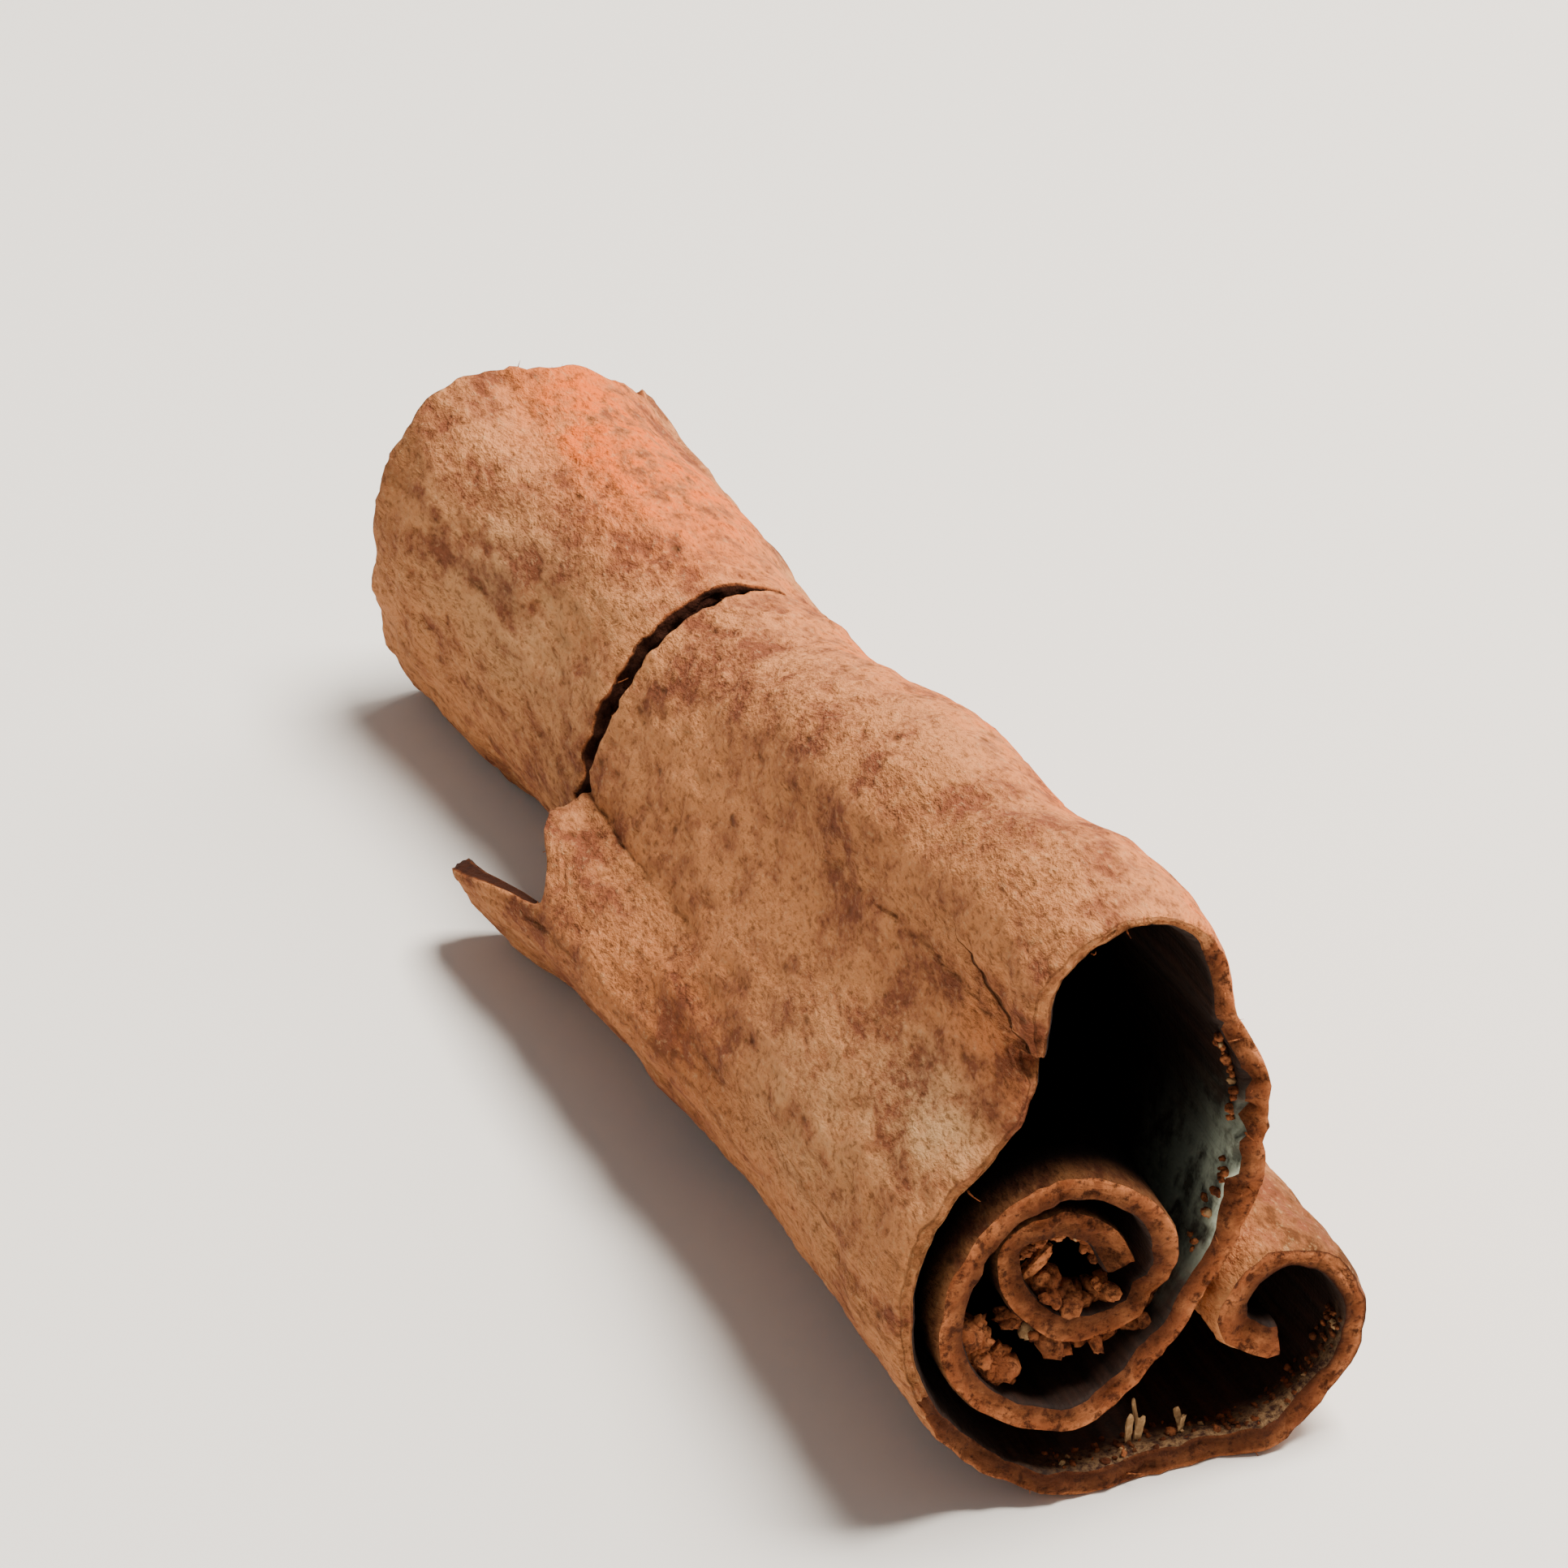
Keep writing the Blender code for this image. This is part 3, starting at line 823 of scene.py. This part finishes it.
def lumps(centres, sizes, turns, seed, rings, spokes, roughness, squareness):
    """Return joined, broken-looking lumps: balls squared off, cut back by noise, stretched and turned.

    A point's direction is given by its polar and round angles. Its radius is 1 plus noise at that
    direction, which differs from lump to lump.
    """
    polar = np.linspace(0.0, math.pi, rings + 2)[1:-1]
    around = np.arange(spokes) / spokes * 2 * math.pi
    polar, around = [part.reshape(-1) for part in np.meshgrid(polar, around, indexing="ij")]
    polar = np.concatenate([[0.0], polar, [math.pi]])
    around = np.concatenate([[0.0], around, [0.0]])
    ball = np.stack([np.sin(polar) * np.cos(around), np.sin(polar) * np.sin(around), np.cos(polar)], axis=-1)
    squared = ball / np.abs(ball).max(axis=-1, keepdims=True) ** squareness
    each = np.arange(len(centres))[:, None]
    wobble = noise(ball[:, 0] * 1.9 + 7.3 * each, ball[:, 1] * 1.9 + 3.1 * each + ball[:, 2] * 2.3, seed)
    finer = noise(ball[:, 0] * 3.9 + 5.1 * each, ball[:, 1] * 3.9 + ball[:, 2] * 5.1, seed + 1)
    wobble = wobble + 0.35 * finer
    shaped = squared[None] * (1.0 + roughness * wobble)[..., None] * sizes[:, None, :]
    placed = np.einsum("nij,nkj->nki", turns, shaped) + centres[:, None, :]
    faces = lump_faces(rings, spokes)[None] + np.arange(len(centres))[:, None, None] * len(ball)
    return placed.reshape(-1, 3), faces.reshape(-1, 3)


def fibres(starts, aims, bends, lengths, radii, steps=4, sides=5):
    """Return tapering bent threads.

    A thread's middle is its start plus its length times (aim times s plus bend times s squared), where s
    runs from 0 to 1. The radius falls to a fifth at the tip.
    """
    share = np.linspace(0.0, 1.0, steps)[None, :, None]
    middles = starts[:, None] + (aims[:, None] * share + bends[:, None] * share ** 2) * lengths[:, None, None]
    first = np.cross(aims, [0.31, 0.17, 0.94])
    first /= np.linalg.norm(first, axis=1, keepdims=True)
    second = np.cross(aims, first)
    angle = np.arange(sides) / sides * 2 * math.pi
    ring = first[:, None] * np.cos(angle)[:, None] + second[:, None] * np.sin(angle)[:, None]
    spread = radii[:, None, None] * (1.0 - 0.8 * share)
    vertices = middles[:, :, None] + ring[:, None] * spread[..., None]
    step, side = np.meshgrid(np.arange(steps - 1), np.arange(sides), indexing="ij")
    here, beside = step * sides + side, step * sides + (side + 1) % sides
    quads = np.stack([here, beside, beside + sides, here + sides], axis=-1).reshape(-1, 4)
    faces = (quads[None] + np.arange(len(starts))[:, None, None] * steps * sides).reshape(-1, 4).tolist()
    base = np.arange(len(starts))[:, None] * steps * sides + np.arange(sides)
    return vertices.reshape(-1, 3), faces + base[:, ::-1].tolist() + (base + (steps - 1) * sides).tolist()


def turns_about(count, random):
    """Return random rotation matrices, from random unit quaternions."""
    quaternions = random.normal(size=(4, count))
    w, x, y, z = quaternions / np.linalg.norm(quaternions, axis=0)
    turns = np.array([[1 - 2 * (y * y + z * z), 2 * (x * y - z * w), 2 * (x * z + y * w)],
                      [2 * (x * y + z * w), 1 - 2 * (x * x + z * z), 2 * (y * z - x * w)],
                      [2 * (x * z - y * w), 2 * (y * z + x * w), 1 - 2 * (x * x + y * y)]])
    return np.ascontiguousarray(np.moveaxis(turns, -1, 0))


class CINNAMON_OT_quill(bpy.types.Operator):
    """Roll the sheet of bark, with its two skins and broken edges"""
    bl_idname = "cinnamon.quill"
    bl_label = "Roll the bark"

    def execute(self, context):
        vertices, faces, kinds, skins = roll_bark()
        piece = mesh_object("rolled_bark", vertices, faces)
        made = [outer_bark(), inner_bark(), broken_bark(), bark_chips()]
        for material in made[:3]:
            piece.data.materials.append(material)
        piece.data.polygons.foreach_set("material_index", kinds.astype(np.int32))
        places, depths = skins["places"], skins["depths"]
        filler = np.zeros(len(vertices) - 2 * len(places))
        marks = bark_marks(places, skins["distances"], depths)
        endings = {"stain_and_shade": skins["edge_tone_and_painted_shade"], "split": filler + FAR_FROM_SPLIT}
        for name, values in marks.items():
            set_attribute(piece, name, np.concatenate([values, values, endings.get(name, filler)]))
        set_attribute(piece, "layer", np.concatenate([0 * places, 0 * places + 1, skins["edge_layer"]]))
        unrolled = np.stack([skins["distances"], depths, 0 * depths], axis=-1) * MM
        set_attribute(piece, "unrolled",
                      np.concatenate([unrolled, unrolled + SKIN_SHIFT, np.zeros((len(filler), 3))]))
        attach(piece, "root")
        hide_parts("quill")
        return {"FINISHED"}


class CINNAMON_OT_crumbs(bpy.types.Operator):
    """Drop crumbs of bark into the scroll, onto the floor of the quill and along its right wall"""
    bl_idname = "cinnamon.crumbs"
    bl_label = "Drop crumbs"

    # Each heap: share of all crumbs, darkness, from and to along the mid-line, depth in mm, height over
    # the sheet in mm (negative inside), and half size in mm.
    HEAPS = (
        (0.08, 0.35, ("wrap_floor", 0.08), ("wrap_floor", 0.60), (0.6, 2.2), (-1.1, -0.2), (0.40, 0.90)),
        (0.07, 0.45, ("wrap_floor", 0.20), ("wrap_floor", 0.80), (0.7, 1.8), (-0.6, -0.1), (0.25, 0.50)),
        (0.08, 0.6, ("core_floor", 0.40), ("core_right", 0.50), (0.1, 1.2), (0.1, 0.5), (0.35, 0.75)),
        (0.07, 0.55, ("core_floor", 0.30), ("core_right", 0.30), (0.1, 1.6), (-0.7, -0.1), (0.35, 0.80)),
        (0.08, 0.4, ("core_start", 0.0), ("core_left", 0.9), (0.1, 0.6), (-0.3, -0.05), (0.16, 0.32)),
        (0.10, 0.5, ("right_wall", 0.3), ("bump", 0.8), (0.6, 1.3), (-0.12, 0.0), (0.16, 0.32)),
        (0.50, 0.9, ("belly", 0.6), ("lobe_side", 0.9), (0.1, 1.6), (-0.06, 0.0), (0.08, 0.26)),
    )
    PALE_SHARE = 0.05

    def execute(self, context):
        random = np.random.default_rng(5)
        total = context.scene.cinnamon_sizes.crumb_count
        centres, sizes, shades = [], [], []
        for share, darkness, start, end, depth, lift, size in self.HEAPS:
            count = round(total * share)
            centres.append(on_sheet(random.uniform(place(*start), place(*end), count),
                                    random.uniform(*depth, count), random.uniform(*lift, count)))
            sizes.append(random.uniform(*size, (count, 1)) * random.uniform(0.35, 1.0, (count, 3)))
            shades.append(darkness * random.uniform(0.5, 1.3, count))
        centres, sizes = np.concatenate(centres), np.concatenate(sizes)
        vertices, faces = lumps(centres, sizes, turns_about(len(centres), random), 7, rings=7, spokes=10,
                                roughness=0.34, squareness=0.3)
        piece = mesh_object("crumbs", vertices, faces)
        set_attribute(piece, "stain_and_shade", np.repeat(np.concatenate(shades), len(vertices) // len(centres)))
        add_slots(piece, "broken_bark", "bark_chips", pale=random.random(len(centres)) < self.PALE_SHARE)
        return {"FINISHED"}


class CINNAMON_OT_splinters(bpy.types.Operator):
    """Stand splinters on the floor of the quill and in the heart of the scroll"""
    bl_idname = "cinnamon.splinters"
    bl_label = "Add splinters"

    # Each splinter: place, depth and height of its middle in mm, half sizes in mm, and tilts in degrees
    # about X (backward), Y (to the side) and Z.
    SPLINTERS = (
        ("core_floor", 0.08, 0.5, -0.80, (0.24, 0.28, 0.95), (8, 44, 0)),
        ("core_floor", 0.00, 0.7, -0.45, (0.22, 0.26, 0.60), (-10, 62, 20)),
        ("core_right", 0.10, 0.6, -0.50, (0.24, 0.22, 0.60), (15, -30, 0)),
        ("rest", 0.28, 0.8, -0.70, (0.17, 0.06, 0.75), (6, 3, 10)),
        ("rest", 0.32, 0.9, -0.95, (0.11, 0.06, 1.00), (-4, -4, 30)),
        ("rest", 0.36, 0.8, -0.60, (0.19, 0.07, 0.65), (8, 7, 0)),
        ("rest", 0.62, 0.9, -0.50, (0.13, 0.07, 0.55), (-12, -8, 0)),
        ("rest", 0.68, 0.8, -0.38, (0.16, 0.07, 0.40), (10, 12, 40)),
    )
    # The first ones are broken bark; the rest are paler chips.
    DARK_COUNT = 3

    def execute(self, context):
        names, shares, depths, lifts, sizes, tilts = zip(*self.SPLINTERS)
        points = on_sheet(np.array([place(*spot) for spot in zip(names, shares)]), np.array(depths),
                          np.array(lifts))
        turns = np.array([Euler([math.radians(part) for part in tilt]).to_matrix() for tilt in tilts])
        vertices, faces = lumps(points, np.array(sizes), turns, 17, rings=10, spokes=8,
                                roughness=0.28, squareness=0.75)
        piece = mesh_object("splinters", vertices, faces, smooth=False)
        add_slots(piece, "broken_bark", "bark_chips", pale=np.arange(len(points)) >= self.DARK_COUNT)
        return {"FINISHED"}


class CINNAMON_OT_fibres(bpy.types.Operator):
    """Fray the broken edges with fine torn fibres"""
    bl_idname = "cinnamon.fibres"
    bl_label = "Fray the edges"

    def execute(self, context):
        random = np.random.default_rng(11)
        count = context.scene.cinnamon_sizes.fibre_count
        rows, normal, thicknesses, places, _ = sheet()
        row, side = np.array([(0, -1), (FRONT_ROWS, 1), (FRONT_ROWS + 1, -1), (len(rows) - 1, 1)]).T
        edge = random.integers(0, 4, count)
        spot = random.uniform(place("right_wall", 0.2), place("lobe_top"), count)
        column = np.searchsorted(places, spot)
        starts = rows[row[edge], column] + normal[row[edge], column] * random.uniform(-0.4, 0.4, (count, 1))
        aims = random.normal(size=(count, 3)) * 0.35
        aims[:, 1] += side[edge]
        aims /= np.linalg.norm(aims, axis=1, keepdims=True)
        bends = random.normal(size=(count, 3)) * 0.35
        vertices, faces = fibres(starts - aims * 0.2, aims, bends, random.uniform(0.3, 0.8, count),
                                 random.uniform(0.03, 0.06, count))
        vertices[:, 2] = np.maximum(vertices[:, 2], 0.0)
        piece = mesh_object("fibres", vertices, faces)
        add_slots(piece, "broken_bark")
        return {"FINISHED"}


class CINNAMON_OT_stage(bpy.types.Operator):
    """Set up the floor, the soft lights and the camera"""
    bl_idname = "cinnamon.stage"
    bl_label = "Set the stage"

    def execute(self, context):
        studio = context.scene.cinnamon_studio
        corners = np.array([(-1, -1, 0), (1, -1, 0), (1, 1, 0), (-1, 1, 0)]) * FLOOR_REACH_MM
        floor = mesh_object("floor", corners, [(0, 1, 2, 3)], smooth=False)
        board = Finish("painted_board", 0.9, 0.1)
        board.shader.inputs["Base Color"].default_value = rgba(studio.floor_colour)
        floor.data.materials.append(board.material)

        middle = Vector((0.0, 0.0, CAD_BOX[1].z / 2))
        for name, spot, size, power, colour in LAMPS:
            data = bpy.data.lights.new(name, "AREA")
            data.size, data.energy, data.color = size, power, colour
            lamp = bpy.data.objects.new(name, data)
            lamp.location = spot
            lamp.rotation_euler = (middle - Vector(spot)).to_track_quat("-Z", "Y").to_euler()
            context.collection.objects.link(lamp)
        world = bpy.data.worlds.new("studio")
        world.use_nodes = True
        sky = world.node_tree.nodes["Background"].inputs
        sky["Color"].default_value = rgba(SKY_COLOUR)
        sky["Strength"].default_value = SKY_STRENGTH
        context.scene.world = world

        data = bpy.data.cameras.new("camera")
        data.lens = LENS_MM
        data.clip_start = 0.01
        camera = bpy.data.objects.new("camera", data)
        context.collection.objects.link(camera)
        level = math.cos(studio.elevation)
        back = Vector((math.sin(studio.azimuth) * level, -math.cos(studio.azimuth) * level,
                       math.sin(studio.elevation)))
        camera.location = middle + back * studio.distance
        camera.rotation_mode = "QUATERNION"
        camera.rotation_quaternion = (-back).to_track_quat("-Z", "Y") @ Quaternion((0, 0, 1), studio.roll)
        context.scene.camera = camera
        return {"FINISHED"}


class CINNAMON_PT_panel(bpy.types.Panel):
    """The stick's sizes, colours and steps"""
    bl_label = "Cinnamon stick"
    bl_idname = "CINNAMON_PT_panel"
    bl_space_type = "VIEW_3D"
    bl_region_type = "UI"
    bl_category = "Cinnamon"

    def draw(self, context):
        for group_name in GROUPS:
            group = getattr(context.scene, group_name)
            box = self.layout.box()
            for name in group.__annotations__:
                box.prop(group, name)
        for operator in OPERATORS:
            self.layout.operator(operator.bl_idname)


OPERATORS = (CINNAMON_OT_stage, CINNAMON_OT_quill, CINNAMON_OT_crumbs, CINNAMON_OT_splinters,
             CINNAMON_OT_fibres)
CLASSES = (CINNAMON_PG_sizes, CINNAMON_PG_colours, CINNAMON_PG_studio, *OPERATORS, CINNAMON_PT_panel)
GROUPS = {"cinnamon_sizes": CINNAMON_PG_sizes, "cinnamon_colours": CINNAMON_PG_colours,
          "cinnamon_studio": CINNAMON_PG_studio}


def register():
    for kind in CLASSES:
        bpy.utils.register_class(kind)
    for name, group in GROUPS.items():
        setattr(bpy.types.Scene, name, PointerProperty(type=group))


def unregister():
    for name in GROUPS:
        delattr(bpy.types.Scene, name)
    for kind in reversed(CLASSES):
        bpy.utils.unregister_class(kind)


def main():
    register()
    bpy.ops.cinnamon.stage()
    bpy.ops.cinnamon.quill()
    bpy.ops.cinnamon.crumbs()
    bpy.ops.cinnamon.splinters()
    bpy.ops.cinnamon.fibres()


if __name__ == "__main__":
    main()
